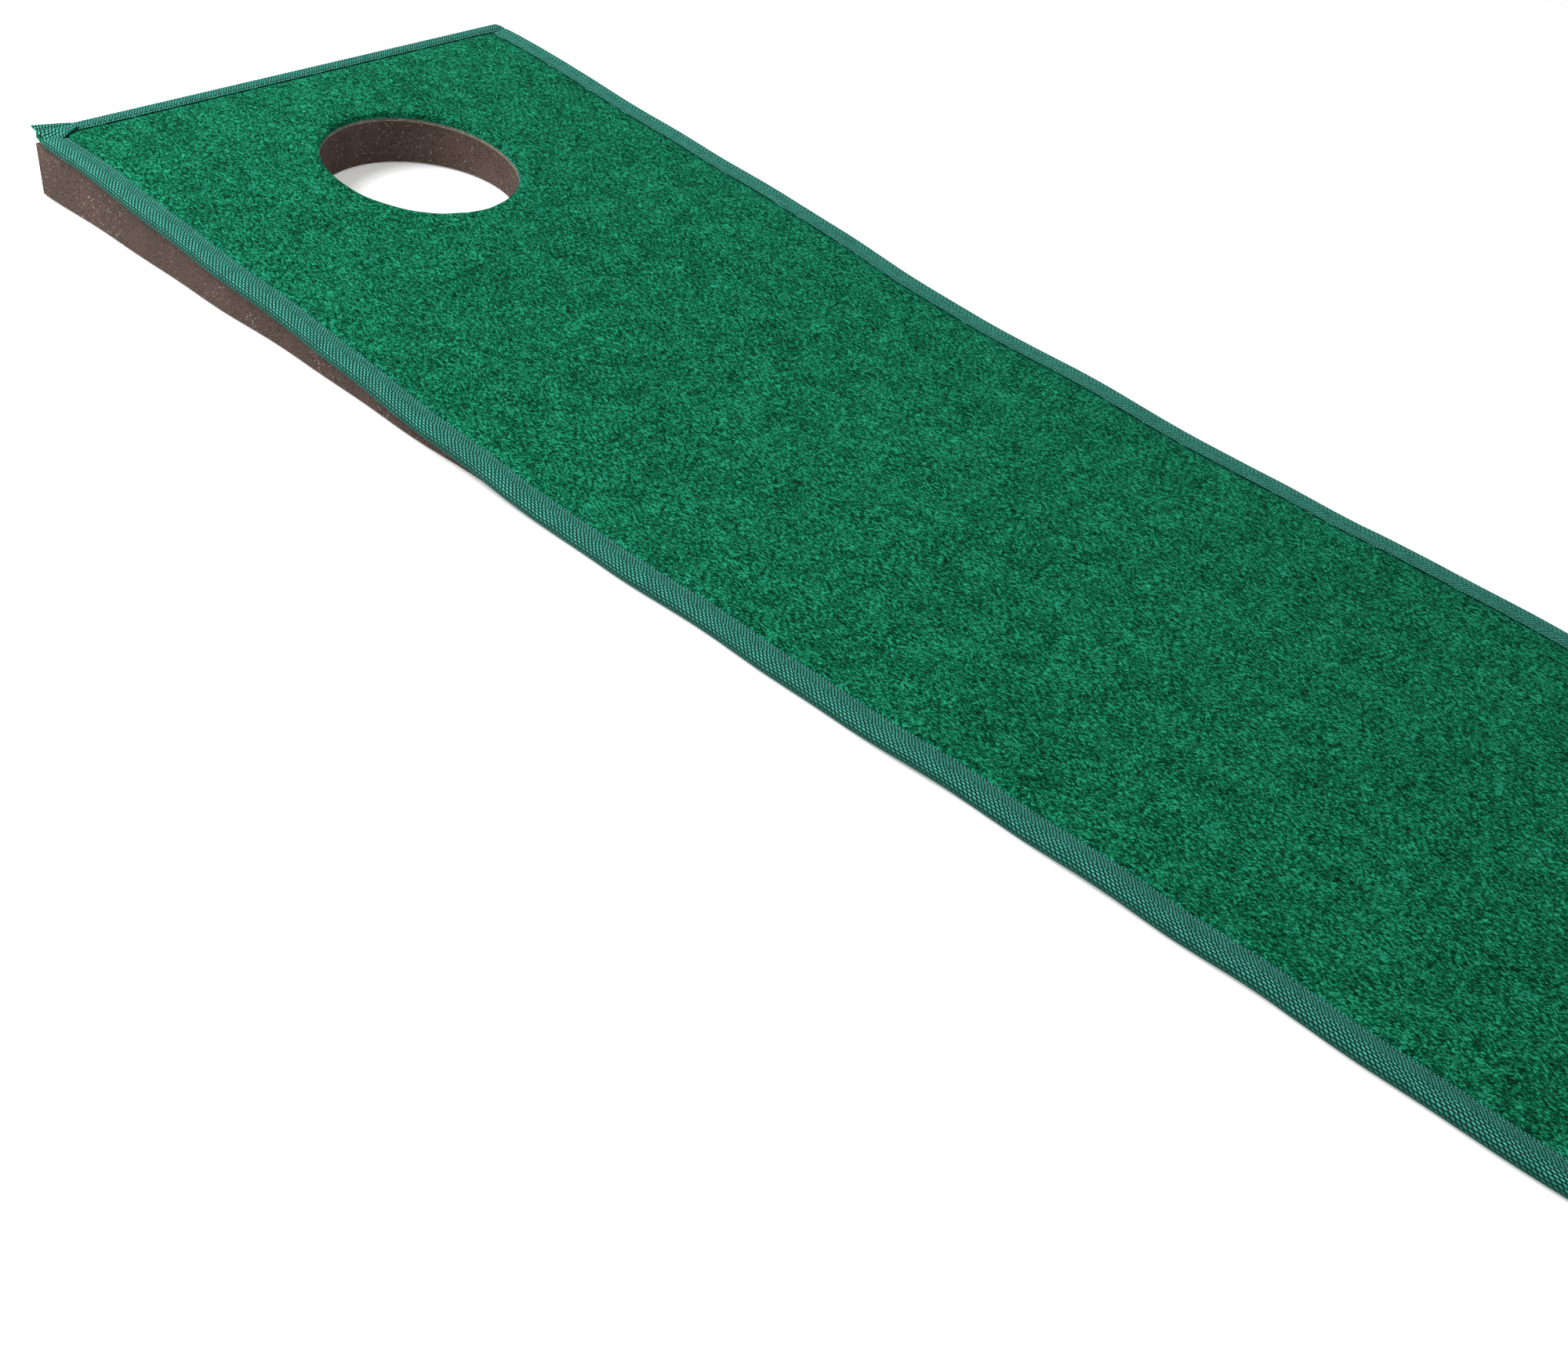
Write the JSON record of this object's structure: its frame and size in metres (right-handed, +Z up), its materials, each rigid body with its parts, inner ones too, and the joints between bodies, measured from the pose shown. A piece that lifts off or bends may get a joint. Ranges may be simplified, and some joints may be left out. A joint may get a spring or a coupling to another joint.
{
  "type": "practice putting mat",
  "caption": "Long felt putting mat with woven edge binding, and a foam wedge that lifts one end into a ramp with a cup-size hole through it.",
  "frame": {"origin": "on the floor, under the middle of the mat's outline", "axes": "+Y along the mat towards the hole end, +X across the mat, +Z up"},
  "size_m": [0.33, 2.438, 0.032],
  "materials": {
    "felt": "matte",
    "backing": "matte",
    "glue": "satin",
    "foam": "matte",
    "binding": "satin",
    "thread": "satin"
  },
  "bodies": {
    "root": {"felt_surface": "felt", "backing_layer": "backing", "wedge_glue_film": "glue", "foam_wedge": "foam", "binding_tape_left": "binding", "needle_thread_left": "thread", "bobbin_thread_left": "thread", "binding_tape_right": "binding", "needle_thread_right": "thread", "bobbin_thread_right": "thread", "binding_tape_hole_end": "binding", "needle_thread_hole_end": "thread", "bobbin_thread_hole_end": "thread", "binding_tape_front_end": "binding", "needle_thread_front_end": "thread", "bobbin_thread_front_end": "thread"}
  },
  "joints": []
}
